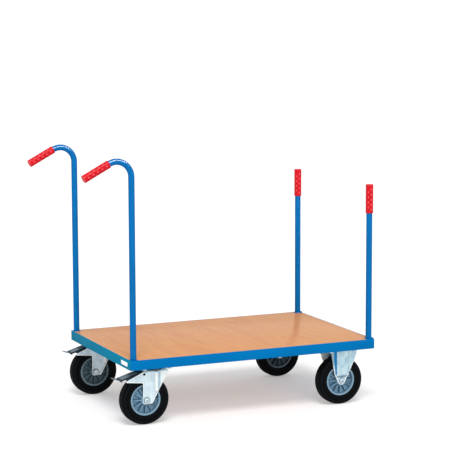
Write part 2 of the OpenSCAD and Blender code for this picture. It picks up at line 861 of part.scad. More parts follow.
long_rail(near);  // near_long_rail
long_rail(far);  // far_long_rail
short_rail(push_end);  // push_end_rail
short_rail(stake_end);  // stake_end_rail
caster_channel(swivel_x);  // swivel_channel
middle_channel();
caster_channel(fixed_x);  // fixed_channel
deck_board();
deck_screws();
tube_sockets();
push_bar(near);  // near_push_bar
push_bar(far);  // far_push_bar
push_grip(near);  // near_push_grip
push_grip(far);  // far_push_grip
clamp_screws();
label_plate();
caster_bolts();
caster_washers();
caster_nuts();
swivel_plate(near);  // near_swivel_plate
swivel_plate(far);  // far_swivel_plate
king_pins();
race_balls();
fixed_bracket(near);  // near_fixed_bracket
fixed_bracket(far);  // far_fixed_bracket
axle_bolt_set(fixed_x, [near, far]);  // fixed_axle_bolts
axle_nut_set(fixed_x, [near, far]);  // fixed_axle_nuts
axle_sleeve_set(fixed_x, [near, far]);  // fixed_axle_sleeves
stake(near);  // near_stake
stake(far);  // far_stake
stake_grip(near);  // near_stake_grip
stake_grip(far);  // far_stake_grip
swivel_fork(near);  // near_swivel_fork
axle_bolt_set(swivel_axle_x, [near]);  // near_axle_bolt
axle_nut_set(swivel_axle_x, [near]);  // near_axle_nut
axle_sleeve_set(swivel_axle_x, [near]);  // near_axle_sleeve
pedal_pin(near);  // near_pedal_pin
swivel_fork(far);  // far_swivel_fork
axle_bolt_set(swivel_axle_x, [far]);  // far_axle_bolt
axle_nut_set(swivel_axle_x, [far]);  // far_axle_nut
axle_sleeve_set(swivel_axle_x, [far]);  // far_axle_sleeve
pedal_pin(far);  // far_pedal_pin
brake_pedal(near);  // near_brake_pedal
brake_shoe(near);  // near_brake_shoe
brake_pedal(far);  // far_brake_pedal
brake_shoe(far);  // far_brake_shoe
wheel_tyre(swivel_axle_x, near);  // near_swivel_tyre
wheel_rim(swivel_axle_x, near);  // near_swivel_rim
wheel_rollers(swivel_axle_x, near);  // near_swivel_rollers
wheel_tyre(swivel_axle_x, far);  // far_swivel_tyre
wheel_rim(swivel_axle_x, far);  // far_swivel_rim
wheel_rollers(swivel_axle_x, far);  // far_swivel_rollers
wheel_tyre(fixed_x, near);  // near_fixed_tyre
wheel_rim(fixed_x, near);  // near_fixed_rim
wheel_rollers(fixed_x, near);  // near_fixed_rollers
wheel_tyre(fixed_x, far);  // far_fixed_tyre
wheel_rim(fixed_x, far);  // far_fixed_rim
wheel_rollers(fixed_x, far);  // far_fixed_rollers
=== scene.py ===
import math

import bmesh
import bpy
from mathutils import Matrix, Vector


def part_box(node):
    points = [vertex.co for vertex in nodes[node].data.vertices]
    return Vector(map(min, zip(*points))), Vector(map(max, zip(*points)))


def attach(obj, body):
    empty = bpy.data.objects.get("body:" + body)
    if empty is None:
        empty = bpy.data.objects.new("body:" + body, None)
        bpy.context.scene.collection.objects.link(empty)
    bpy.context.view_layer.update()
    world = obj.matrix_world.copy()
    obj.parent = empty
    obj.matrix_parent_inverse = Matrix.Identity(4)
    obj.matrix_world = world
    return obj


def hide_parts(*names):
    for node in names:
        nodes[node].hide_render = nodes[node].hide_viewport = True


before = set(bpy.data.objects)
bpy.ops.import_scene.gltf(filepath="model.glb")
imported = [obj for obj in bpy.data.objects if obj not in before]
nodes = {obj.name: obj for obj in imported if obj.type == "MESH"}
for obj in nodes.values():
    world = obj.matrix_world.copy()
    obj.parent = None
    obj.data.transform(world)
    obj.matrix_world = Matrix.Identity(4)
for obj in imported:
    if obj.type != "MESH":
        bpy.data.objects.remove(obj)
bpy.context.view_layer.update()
mm = 0.001  # new pieces are built in millimetres and then placed in the frame
sides = {"near": -1, "far": 1}
print("frame loaded,", len(nodes), "CAD nodes")


def placed(x, y, z, turn=None):
    # where a piece built in millimetres goes; x, y and z are in metres
    spot = Matrix.Translation((x, y, z))
    return (spot @ turn if turn else spot) @ Matrix.Scale(mm, 4)


def turnAbout(axis, degrees):
    return Matrix.Rotation(math.radians(degrees), 4, axis)


def arcPoints(centre, radius, start, end, count):
    angles = [math.radians(start + (end - start) * i / count) for i in range(count + 1)]
    return [(centre[0] + radius * math.cos(a), centre[1] + radius * math.sin(a)) for a in angles]


def smoothStep(low, high, value):
    t = min(1.0, max(0.0, (value - low) / (high - low)))
    return t * t * (3 - 2 * t)


def edgesOf(geometry):
    return [g for g in geometry if isinstance(g, bmesh.types.BMEdge)]


def vertsOf(geometry):
    return [g for g in geometry if isinstance(g, bmesh.types.BMVert)]


def mirroredUp(profile):
    # half of a ring's section with its mirror image above it
    return profile + [(r, -z) for r, z in reversed(profile)]


def turned(profile, steps, closed=False):
    # (radius, height) points turned about Z
    bm = bmesh.new()
    verts = [bm.verts.new((r, 0, z)) for r, z in profile]
    pairs = list(zip(verts, verts[1:])) + ([(verts[-1], verts[0])] if closed else [])
    edges = [bm.edges.new(pair) for pair in pairs]
    bmesh.ops.spin(bm, geom=verts + edges, cent=(0, 0, 0), axis=(0, 0, 1), angle=math.tau,
                   steps=steps, use_merge=True)
    bmesh.ops.remove_doubles(bm, verts=bm.verts, dist=1e-4)
    bmesh.ops.recalc_face_normals(bm, faces=bm.faces)
    return bm


def softenEdges(bm, width, limit=40):
    sharp = [e for e in bm.edges if e.is_manifold and e.calc_face_angle(0) > math.radians(limit)]
    bmesh.ops.bevel(bm, geom=sharp, offset=width, offset_type="OFFSET", segments=2,
                    profile=0.5, affect="EDGES", clamp_overlap=True, material=-1)
    return bm


def plate(outline, thickness, corner=0, edge=0.4):
    # an outline in X and Y, with its corners rounded, raised to a thickness along Z
    bm = bmesh.new()
    face = bm.faces.new([bm.verts.new((x, y, 0)) for x, y in outline])
    if corner:
        bmesh.ops.bevel(bm, geom=list(bm.verts), offset=corner, offset_type="OFFSET", segments=6,
                        profile=0.5, affect="VERTICES", clamp_overlap=True, material=-1)
        face = bm.faces[:][0]
    top = bmesh.ops.extrude_face_region(bm, geom=[face])["geom"]
    bmesh.ops.translate(bm, vec=(0, 0, thickness), verts=vertsOf(top))
    bmesh.ops.recalc_face_normals(bm, faces=bm.faces)
    return softenEdges(bm, edge)


def rectangle(x0, x1, y0, y1):
    return [(x0, y0), (x1, y0), (x1, y1), (x0, y1)]


def merged(*parts):
    # several (bmesh, matrix) parts as one bmesh
    whole = bmesh.new()
    for bm, matrix in parts:
        bmesh.ops.transform(bm, matrix=matrix, verts=bm.verts)
        carrier = bpy.data.meshes.new("carrier")
        bm.to_mesh(carrier)
        bm.free()
        whole.from_mesh(carrier)
        bpy.data.meshes.remove(carrier)
    return whole


def addPiece(name, bm, place, finish, body, replaced, crease=38, marks=None):
    # marks(x, y, z) gives how much of its finish's three extra shades a point of the piece has: painted
    # highlights, shade and reflections on most pieces, wear on the pedals' rib tops
    shades = [marks(*vert.co) for vert in bm.verts] if marks else []
    bmesh.ops.transform(bm, matrix=place, verts=bm.verts)
    for face in bm.faces:
        face.smooth = True
    for edge in bm.edges:
        edge.smooth = edge.calc_face_angle(0) < math.radians(crease)
    mesh = bpy.data.meshes.new(name)
    bm.to_mesh(mesh)
    bm.free()
    if shades:
        layer = mesh.attributes.new("painted_light_and_wear", "FLOAT_COLOR", "POINT")
        for item, shade in zip(layer.data, shades):
            item.color = (*shade, 1)
    mesh.materials.append(finishes[finish])
    piece = bpy.data.objects.new(name, mesh)
    bpy.context.scene.collection.objects.link(piece)
    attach(piece, body)
    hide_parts(*replaced)
    return piece


def middle(node):
    low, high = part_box(node)
    return (low + high) / 2


def srgb(r, g, b):
    # an 0-255 screen colour as the linear colour that the shader takes
    def linear(c):
        c /= 255
        return c / 12.92 if c <= 0.04045 else ((c + 0.055) / 1.055) ** 2.4
    return (linear(r), linear(g), linear(b), 1)


def noiseNode(tree, scale, stretch=(1, 1, 1), detail=4, rough=0.5, distortion=0):
    coords = tree.nodes.new("ShaderNodeTexCoord")
    mapping = tree.nodes.new("ShaderNodeMapping")
    noise = tree.nodes.new("ShaderNodeTexNoise")
    mapping.inputs["Scale"].default_value = stretch
    for key, value in (("Scale", scale), ("Detail", detail), ("Roughness", rough),
                       ("Distortion", distortion)):
        noise.inputs[key].default_value = value
    tree.links.new(coords.outputs["Object"], mapping.inputs["Vector"])
    tree.links.new(mapping.outputs["Vector"], noise.inputs["Vector"])
    return noise.outputs["Fac"]


def rampNode(tree, value, stops):
    ramp = tree.nodes.new("ShaderNodeValToRGB")
    while len(ramp.color_ramp.elements) < len(stops):
        ramp.color_ramp.elements.new(0.5)
    for element, (position, colour) in zip(ramp.color_ramp.elements, stops):
        element.position = position
        element.color = colour
    tree.links.new(value, ramp.inputs["Fac"])
    return ramp.outputs["Color"]


def rangeNode(tree, value, low, high, fromLow=0.3, fromHigh=0.7):
    node = tree.nodes.new("ShaderNodeMapRange")
    for key, number in (("From Min", fromLow), ("From Max", fromHigh), ("To Min", low),
                        ("To Max", high)):
        node.inputs[key].default_value = number
    tree.links.new(value, node.inputs["Value"])
    return node.outputs["Result"]


def mixNode(tree, amount, first, second):
    node = tree.nodes.new("ShaderNodeMix")
    node.data_type = "RGBA"
    tree.links.new(amount, node.inputs[0])
    for socket, colour in ((node.inputs[6], first), (node.inputs[7], second)):
        if isinstance(colour, tuple):
            socket.default_value = colour
        else:
            tree.links.new(colour, socket)
    return node.outputs[2]


def bumpNode(tree, height, strength, distance):
    node = tree.nodes.new("ShaderNodeBump")
    node.inputs["Strength"].default_value = strength
    node.inputs["Distance"].default_value = distance
    tree.links.new(height, node.inputs["Height"])
    return node.outputs["Normal"]


def newFinish(name, **sockets):
    material = bpy.data.materials.new(name)
    material.use_nodes = True
    shader = material.node_tree.nodes["Principled BSDF"]
    for key, value in sockets.items():
        shader.inputs[key.replace("_", " ")].default_value = value
    return material, material.node_tree, shader.inputs, material.node_tree.links


def speckledFinish(name, style):
    # one colour that drifts between two shades, with its own gloss variation and surface bump; the piece's
    # attribute lays on three more shades, mostly painted highlights, shade and reflections, and rib-top wear on
    # the pedals
    material, tree, sockets, links = newFinish(name, **style["sockets"])
    drift = noiseNode(tree, style["driftScale"])
    colour = rampNode(tree, drift, [(0.3, style["dark"]), (0.7, style["light"])])
    # the attribute's three channels mix in a dark, a pale and a tinted shade: painted shade, painted highlights
    # and painted reflections on most pieces
    if style["paintedLightAndWear"]:
        layer = tree.nodes.new("ShaderNodeAttribute")
        layer.attribute_name = "painted_light_and_wear"
        split = tree.nodes.new("ShaderNodeSeparateColor")
        links.new(layer.outputs["Color"], split.inputs["Color"])
        for channel, shade in zip(("Red", "Green", "Blue"), style["paintedLightAndWear"]):
            colour = mixNode(tree, split.outputs[channel], colour, shade)
    links.new(colour, sockets["Base Color"])
    haze = noiseNode(tree, style["driftScale"] * 3)
    links.new(rangeNode(tree, haze, *style["roughness"]), sockets["Roughness"])
    relief = bumpNode(tree, noiseNode(tree, style["grainScale"], detail=3), style["bump"], style["bumpDepth"])
    links.new(relief, sockets["Normal"])
    links.new(relief, sockets["Coat Normal"])
    return material


def surface(dark, light, drift, roughness, grain, bump, depth, paintedLightAndWear=(), coat=None, **sockets):
    # a finish's colours, the scale of its drift and grain, and its gloss; coat is (weight, roughness)
    if coat:
        sockets.update(Specular_IOR_Level=0.0, Coat_Weight=coat[0], Coat_Roughness=coat[1])
    return {"dark": srgb(*dark), "light": srgb(*light), "driftScale": drift, "roughness": roughness,
            "grainScale": grain, "bump": bump, "bumpDepth": depth, "paintedLightAndWear": [srgb(*c) for c in paintedLightAndWear],
            "sockets": sockets}


satin = (0.4, 0.5)
finishLooks = {
    "bluePaint": surface((0, 113, 180), (0, 121, 190), 7, satin, 900, 0.1, 0.0003, coat=(0.06, 0.16)),
    "tubePaint": surface((0, 110, 181), (0, 117, 190), 7, satin, 900, 0.04, 0.0002, coat=(0.16, 0.24)),
    # the push end's rail: the same blue paint, greener and paler as painted light on that face
    "pushEndLitPaint": surface((10, 136, 175), (16, 144, 181), 7, satin, 900, 0.1, 0.0003, coat=(0.06, 0.16)),
    # the grip's extra shades: painted shade between the hollows and painted highlights in them
    "redGrip": surface((214, 12, 30), (232, 22, 42), 30, satin, 1500, 0.1, 0.0002, coat=(0.3, 0.2),
                       paintedLightAndWear=((165, 8, 24), (255, 118, 122), (232, 22, 42))),
    # zinc's extra shades: painted shade, painted highlights and a painted blue reflection
    "zincPlate": surface((158, 192, 212), (216, 240, 245), 38, (0.28, 0.42), 260, 0.12, 0.0004,
                         paintedLightAndWear=((84, 112, 134), (250, 253, 252), (4, 120, 176)),
                         Metallic=0.45, Specular_IOR_Level=0.3),
    "brightSteel": surface((165, 168, 172), (205, 208, 210), 60, (0.2, 0.32), 500, 0.08, 0.0002, Metallic=0.95),
    # race balls: steel darkened as painted shade, as they sit in shadow under the swivel plate
    "shadowDarkSteel": surface((34, 36, 40), (70, 74, 80), 60, (0.2, 0.3), 500, 0.08, 0.0002, Metallic=0.9),
    # the tyre's pale extra shade is a painted sheen
    "tyreRubber": surface((2, 4, 6), (6, 9, 12), 14, (0.55, 0.7), 700, 0.2, 0.0005, coat=(0.1, 0.3),
                          paintedLightAndWear=((2, 2, 4), (40, 46, 52), (9, 11, 15))),
    # the wheel centre's dark extra shade is painted shade; its pale one goes on the band and, as painted
    # highlights, on the rib tops
    "wheelPlastic": surface((130, 174, 203), (152, 196, 224), 18, satin, 900, 0.12, 0.0003, coat=(0.25, 0.3),
                            paintedLightAndWear=((22, 34, 46), (120, 146, 161), (84, 116, 138))),
    # the far wheels' centres: the same plastic darker and duller, as painted shade
    "paintedShadePlastic": surface((95, 120, 131), (114, 139, 149), 18, satin, 900, 0.12, 0.0003, coat=(0.2, 0.3),
                             paintedLightAndWear=((21, 30, 37), (115, 130, 136), (86, 108, 119))),
    "pedalCoat": surface((26, 44, 54), (44, 66, 77), 40, (0.34, 0.46), 600, 0.12, 0.0003, coat=(0.18, 0.22),
                         paintedLightAndWear=((8, 12, 17), (190, 208, 218), (38, 58, 68))),
    "blackPin": surface((10, 11, 12), (18, 19, 20), 60, (0.5, 0.6), 600, 0.1, 0.0002, coat=(0.1, 0.4)),
    "shoeRubber": surface((16, 16, 17), (26, 26, 28), 40, (0.6, 0.75), 500, 0.25, 0.0005,
                          Specular_IOR_Level=0.1),
    # the label glows a little: painted light
    "whiteLabel": surface((236, 238, 240), (246, 247, 248), 50, (0.25, 0.35), 900, 0.05, 0.0002,
                          Specular_IOR_Level=0.2, Emission_Color=(1, 1, 1, 1), Emission_Strength=0.34),
}
finishes = {name: speckledFinish(name, style) for name, style in finishLooks.items()}

# rim is the colour of a painted highlight along the board's edges
board = {
    "pale": srgb(229, 162, 105), "mid": srgb(220, 150, 94), "deep": srgb(198, 126, 76),
    "fleck": srgb(168, 98, 60), "rim": srgb(246, 190, 132), "alongGrain": 0.05,
    "middle": tuple(middle("deck_board"))[:2], "half": (0.537, 0.352), "edgeHighlightWide": 0.004,
    "broadScale": 11, "lineScale": 190, "fleckScale": 900, "coat": 0.36, "coatRoughness": 0.2,
    "relief": 0.06, "reliefDepth": 0.0004,
}


def edgeHighlightMask(tree, look):
    # 1 within a few millimetres of the board's edges, where a painted highlight goes
    coords = tree.nodes.new("ShaderNodeTexCoord")
    split = tree.nodes.new("ShaderNodeSeparateXYZ")
    tree.links.new(coords.outputs["Object"], split.inputs["Vector"])
    nearest = tree.nodes.new("ShaderNodeMath")
    nearest.operation = "MAXIMUM"
    for axis in (0, 1):
        shift = tree.nodes.new("ShaderNodeMath")
        shift.operation = "SUBTRACT"
        shift.inputs[1].default_value = look["middle"][axis]
        away = tree.nodes.new("ShaderNodeMath")
        away.operation = "ABSOLUTE"
        tree.links.new(split.outputs[axis], shift.inputs[0])
        tree.links.new(shift.outputs[0], away.inputs[0])
        edge = look["half"][axis]
        fade = rangeNode(tree, away.outputs[0], 0, 1, edge - look["edgeHighlightWide"], edge)
        tree.links.new(fade, nearest.inputs[axis])
    return nearest.outputs[0]


def beechFinish(look):
    # a beech-faced board whose grain runs across the cart, with a painted highlight along its edges
    material, tree, sockets, links = newFinish("beechBoard", Specular_IOR_Level=0.0, Coat_Weight=look["coat"],
                                               Coat_Roughness=look["coatRoughness"])
    along = (1, look["alongGrain"], 1)
    broad = noiseNode(tree, look["broadScale"], (1, 0.12, 1), 5, 0.55, 0.6)
    colour = rampNode(tree, broad, [(0.3, look["mid"]), (0.5, look["pale"]), (0.72, look["mid"])])
    lines = noiseNode(tree, look["lineScale"], along, 6, 0.65, 0.3)
    colour = mixNode(tree, rangeNode(tree, lines, 0, 0.42, 0.42, 0.75), colour, look["deep"])
    flecks = noiseNode(tree, look["fleckScale"], (1, 0.09, 1), 2)
    colour = mixNode(tree, rangeNode(tree, flecks, 0, 0.5, 0.62, 0.74), colour, look["fleck"])
    # a painted highlight along the board's edges
    colour = mixNode(tree, edgeHighlightMask(tree, look), colour, look["rim"])
    links.new(colour, sockets["Base Color"])
    links.new(rangeNode(tree, lines, 0.34, 0.46), sockets["Roughness"])
    relief = bumpNode(tree, lines, look["relief"], look["reliefDepth"])
    links.new(relief, sockets["Normal"])
    links.new(relief, sockets["Coat Normal"])
    return material


finishes["beechBoard"] = beechFinish(board)
print("finishes made:", len(finishes))


# frame and deck: CAD nodes with rounded edges
frameLook = {
    "railEdge": 0.8, "channelEdge": 0.6, "boardEdge": 0.5, "socketEdge": 0.8,
    "deckTop": 270.2, "socketWall": 3,
}


def slopeSockets(bm):
    # the stake sockets' tops run down to the deck on their inner side
    low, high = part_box("near_stake")
    inner, outer = low.x / mm - frameLook["socketWall"], high.x / mm + frameLook["socketWall"]
    top = frameLook["deckTop"]
    for vert in bm.verts:
        if vert.co.z > top:
            vert.co.z = top + (vert.co.z - top) * min(1, max(0, (vert.co.x - inner) / (outer - inner)))


def softened(node, width, finish, shape=None):
    # a CAD node whose own sharp edges are rounded
    bm = bmesh.new()
    bm.from_mesh(nodes[node].data)
    bmesh.ops.scale(bm, vec=(1 / mm, 1 / mm, 1 / mm), verts=bm.verts)
    bmesh.ops.remove_doubles(bm, verts=bm.verts, dist=0.01)
    bmesh.ops.dissolve_limit(bm, angle_limit=math.radians(0.5), verts=bm.verts, edges=bm.edges)
    if shape:
        shape(bm)
    softenEdges(bm, width)
    addPiece("soft_" + node, bm, Matrix.Scale(mm, 4), finish, "cart_frame", [node])


for node in ("near_long_rail", "far_long_rail", "stake_end_rail"):
    softened(node, frameLook["railEdge"], "bluePaint")
# the push end's rail takes the copy of the blue with painted light
softened("push_end_rail", frameLook["railEdge"], "pushEndLitPaint")
softened("tube_sockets", frameLook["socketEdge"], "bluePaint", shape=slopeSockets)
for node in ("swivel_channel", "middle_channel", "fixed_channel"):
    softened(node, frameLook["channelEdge"], "bluePaint")
softened("deck_board", frameLook["boardEdge"], "beechBoard")
print("frame and deck made")


# push bars and stakes
tube = {
    "radius": 12.5, "wall": 2, "sides": 48, "bendRadius": 62, "bendAngle": 118, "bendSteps": 28,
    "edge": 0.3, "endGap": 0.5,
}
grip = {
    "length": 118, "radius": 16, "bore": 12.5, "cap": 4, "edge": 2.2, "start": 2, "collar": 5,
    "waist": 0.3, "dimples": 8, "pitch": 21, "dimpleLong": 6.5, "dimpleWide": 4.2, "dimpleDeep": 1.4,
    "plainEnd": 9, "around": 96,
}


def ringEdges(bm):
    # the open end that a tube grows from
    ring = bmesh.ops.create_circle(bm, segments=tube["sides"], radius=tube["radius"])["verts"]
    return list(dict.fromkeys(e for v in ring for e in v.link_edges))


def solidTube(bm):
    bmesh.ops.recalc_face_normals(bm, faces=bm.faces)
    bmesh.ops.solidify(bm, geom=bm.faces, thickness=tube["wall"])
    bmesh.ops.recalc_face_normals(bm, faces=bm.faces)
    return softenEdges(bm, tube["edge"], 60)


def straightRun(bm, edges, vector):
    grown = bmesh.ops.extrude_edge_only(bm, edges=edges)["geom"]
    bmesh.ops.translate(bm, vec=vector, verts=vertsOf(grown))
    return edgesOf(grown)


def pushBar(bendZ):
    # a tube that stands on Z = 0 and bends towards -X
    bm = bmesh.new()
    rim = straightRun(bm, ringEdges(bm), (0, 0, bendZ))
    rim = [e for e in rim if all(abs(v.co.z - bendZ) < 1e-3 for v in e.verts)]
    lean = math.radians(tube["bendAngle"])
    bent = bmesh.ops.spin(bm, geom=rim, cent=(-tube["bendRadius"], 0, bendZ), axis=(0, -1, 0),
                          angle=lean, steps=tube["bendSteps"])["geom_last"]
    run = grip["start"] + grip["length"] - grip["cap"] - tube["endGap"]
    straightRun(bm, edgesOf(bent), (-run * math.sin(lean), 0, run * math.cos(lean)))
    return solidTube(bm)


def stakeTube(length):
    bm = bmesh.new()
    straightRun(bm, ringEdges(bm), (0, 0, length))
    return solidTube(bm)


def dimpleDepth(angle, height):
    # staggered rows of oval hollows round the grip
    row = angle / math.tau * grip["dimples"]
    column = round(row)
    shift = grip["pitch"] / 2 if column % 2 else 0
    first = grip["collar"] + grip["plainEnd"]
    last = grip["length"] - first
    step = round((height - first - shift) / grip["pitch"])
    centre = first + shift + step * grip["pitch"]
    if not first - 1 <= centre <= last + 1:
        return 0
    across = (row - column) / grip["dimples"] * math.tau * grip["radius"] / grip["dimpleWide"]
    along = (height - centre) / grip["dimpleLong"]
    reach = math.hypot(across, along)
    return grip["dimpleDeep"] * (math.cos(math.pi * reach) + 1) / 2 if reach < 1 else 0


def gripPaintedLight(x, y, z):
    # painted highlights in the hollows and toward the closed end, and painted shade half way between the
    # hollows
    angle = math.atan2(y, x) % math.tau
    pale = dimpleDepth(angle, z) / grip["dimpleDeep"]
    dark = dimpleDepth(angle, z + grip["pitch"] / 2) / grip["dimpleDeep"]
    end = smoothStep(grip["length"] - grip["collar"], grip["length"] - 1, z)
    return (0.7 * dark, min(1, 0.95 * pale + 0.3 * end), 0)


def gripForm():
    # a grip that stands on Z = 0 with its closed end up
    r, length, collar = grip["radius"], grip["length"], grip["collar"]
    waist = r - grip["waist"]
    rows = [collar + 1.2 + i for i in range(int(length - 2 * collar - 2))]
    side = ([(grip["bore"], 0.2), (r - 1, 0)] + arcPoints((r - 0.8, 0.8), 0.8, -70, 0, 3)
            + [(r, collar - 0.6), (r - 0.05, collar), (waist, collar + 0.7)]
            + [(waist, z) for z in rows]
            + [(waist, length - collar - 0.7), (r - 0.05, length - collar), (r, length - collar + 0.6)]
            + arcPoints((r - grip["edge"], length - grip["edge"]), grip["edge"], 0, 80, 5)
            + [(r - 4, length - 0.05), (r - 4.8, length - 0.5), (0, length - 0.6)])
    inside = [(0, length - grip["cap"]), (grip["bore"], length - grip["cap"])]
    bm = turned(side + inside, grip["around"], True)
    for vert in bm.verts:
        radius = math.hypot(vert.co.x, vert.co.y)
        if abs(radius - waist) < 0.02 and collar + 1 < vert.co.z < length - collar - 1:
            depth = dimpleDepth(math.atan2(vert.co.y, vert.co.x) % math.tau, vert.co.z)
            vert.co.x *= (radius - depth) / radius
            vert.co.y *= (radius - depth) / radius
    return bm


tubePieces = []
for side in sides:
    low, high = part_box(side + "_push_bar")
    x, y = high.x - tube["radius"] * mm, (low.y + high.y) / 2
    bendTop = high.z - (tube["bendRadius"] + tube["radius"]) * mm
    tubePieces.append(addPiece(side + "_bent_tube", pushBar((bendTop - low.z) / mm), placed(x, y, low.z),
                               "tubePaint", "cart_frame", [side + "_push_bar"]))
    lean = (Matrix.Translation((-tube["bendRadius"] * mm, 0, bendTop - low.z))
            @ turnAbout("Y", -tube["bendAngle"])
            @ Matrix.Translation((tube["bendRadius"] * mm, 0, grip["start"] * mm)))
    addPiece(side + "_push_hand_grip", gripForm(), placed(x, y, low.z, lean), "redGrip", "cart_frame",
             [side + "_push_grip"], marks=gripPaintedLight)

    spot, foot = middle(side + "_stake"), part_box(side + "_stake")[0].z
    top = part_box(side + "_stake_grip")[1].z
    body = side + "_stake_set"
    stakeLong = (top - foot) / mm - grip["cap"] - tube["endGap"]
    tubePieces.append(addPiece(side + "_stake_tube", stakeTube(stakeLong), placed(spot.x, spot.y, foot),
                               "tubePaint", body, [side + "_stake"]))
    addPiece(side + "_stake_top_grip", gripForm(), placed(spot.x, spot.y, top - grip["length"] * mm),
             "redGrip", body, [side + "_stake_grip"], marks=gripPaintedLight)
print("tubes and grips made")


# wheels, turned about Z and then laid along Y
tyre = {
    "radius": 100, "half": 25, "seat": 63, "seatHalf": 21, "shoulder": 12, "groove": 8.5, "grooveDeep": 1.1,
    "wall": [(64.6, -22.6), (66.4, -23.2), (67.6, -24.2), (69.4, -24.5), (70.6, -23.9), (71.6, -23.9),
             (72.8, -24.7), (75, -25), (84.6, -25), (85.4, -24.6), (86.4, -24.6), (87.2, -25)],
    "sheenRing": 90, "beadRing": 70, "sheenTread": 15, "around": 96,
}
wheel = {
    "band": 55, "lip": 21, "web": 3, "hub": 20, "hubHalf": 27.5, "bore": 14, "ribs": 12, "ribThick": 3,
    "ribLow": 16.5, "ribRise": 8, "bandFace": 16.8, "paleBand": 60, "ribShade": (2, 5.5),
}


def tyreForm():
    r, half, groove = tyre["radius"], tyre["half"], tyre["groove"]
    bottom = r - tyre["grooveDeep"]
    wall = [(tyre["seat"], -tyre["seatHalf"])] + tyre["wall"]
    shoulder = arcPoints((r - tyre["shoulder"], -half + tyre["shoulder"]), tyre["shoulder"], -90, -10, 9)
    tread = [(r - 0.06, -groove - 1.6), (r - 0.1, -groove - 0.7), (bottom, -groove - 0.4),
             (bottom, -groove + 0.4), (r - 0.05, -groove + 0.7), (r, -groove + 1.6)]
    return turned(mirroredUp(wall + shoulder[1:] + tread), tyre["around"], True)


def tyrePaintedSheen(x, y, z):
    # painted sheen: faint pale rings on the sidewalls and a pale band on each half of the tread, as highlights
    reach, beside = math.hypot(x, y), abs(z) > tyre["half"] - 5
    ring = 1 - smoothStep(0, 3, abs(reach - tyre["sheenRing"])) if beside else 0
    bead = 1 - smoothStep(0, 1.6, abs(reach - tyre["beadRing"])) if beside else 0
    tread = 1 - smoothStep(0, 4, abs(abs(z) - tyre["sheenTread"])) if reach > tyre["radius"] - 4 else 0
    return (0, 0.35 * ring + 0.25 * bead + 0.3 * tread, 0)


def rimForm():
    seat, band, lip, web = tyre["seat"], wheel["band"], wheel["lip"], wheel["web"]
    near = [(seat, -lip + 0.8), (seat - 0.8, -lip), (band + 1.2, -lip), (band + 0.3, -lip + 0.7),
            (band - 0.4, -lip + 5), (band - 1, -web - 4), (band - 2, -web - 1.6), (band - 4.5, -web),
            (wheel["hub"] - 2, -web)]
    bandForm = turned(mirroredUp(near), tyre["around"], True)
    bore, hub, half = wheel["bore"], wheel["hub"], wheel["hubHalf"]
    nearHub = [(bore, -half), (hub - 1.5, -half), (hub, -half + 1.5), (hub + 0.6, -web - 3),
               (hub + 3, -web)]
    hubForm = turned(mirroredUp(nearHub), 64, True)
    parts = [(bandForm, Matrix()), (hubForm, Matrix())]
    for i in range(wheel["ribs"]):
        outline = [(hub - 1, -half + 3), (band, -lip + 4.5), (band, lip - 4.5), (hub - 1, half - 3)]
        rib = plate(outline, wheel["ribThick"], edge=0.7)
        stand = (turnAbout("Z", i * 360 / wheel["ribs"]) @ turnAbout("X", 90)
                 @ Matrix.Translation((0, 0, -wheel["ribThick"] / 2)))
        parts.append((rib, stand))
    return merged(*parts)


def rimPaintedLight(x, y, z):
    # a pale band, pale rib tops as painted highlights, painted shade on the rib sides and in the recesses, and
    # painted shadow on the web beside each rib
    reach, tall = math.hypot(x, y), abs(z)
    if reach > wheel["band"] - 0.2 and tall > wheel["bandFace"]:
        return (0, 1 if reach < wheel["paleBand"] else 0.3, 0)
    if tall > wheel["ribLow"] - 1.5 and reach > wheel["hub"] + 1:
        inwards = (wheel["band"] - reach) / (wheel["band"] - wheel["hub"] + 1)
        top = wheel["ribLow"] + wheel["ribRise"] * inwards
        return (0, 0.7, 0) if tall > top - 0.4 else (0.75, 0, 0)
    apart = 360 / wheel["ribs"]
    beside = (math.degrees(math.atan2(y, x)) + apart / 2) % apart - apart / 2
    close, far = wheel["ribShade"]
    shade = 0.9 if close < beside < far else 0.5 if -far < beside < close else 0
    return (shade if tall < wheel["web"] + 2 else 0.3, 0, 0)


alongY = turnAbout("X", 90)
# the far wheel centres take the darker copy of the plastic: painted shade
centreFinish = {"near": "wheelPlastic", "far": "paintedShadePlastic"}
for side in sides:
    for kind in ("swivel", "fixed"):
        centre = middle(f"{side}_{kind}_tyre")
        body = f"{side}_{kind}_wheel"
        spot = placed(centre.x, centre.y, centre.z, alongY)
        addPiece(f"{side}_{kind}_rubber_tyre", tyreForm(), spot, "tyreRubber", body,
                 [f"{side}_{kind}_tyre"], marks=tyrePaintedSheen)
        addPiece(f"{side}_{kind}_wheel_centre", rimForm(), spot, centreFinish[side], body,
                 [f"{side}_{kind}_rim"], marks=rimPaintedLight)
print("wheels made")


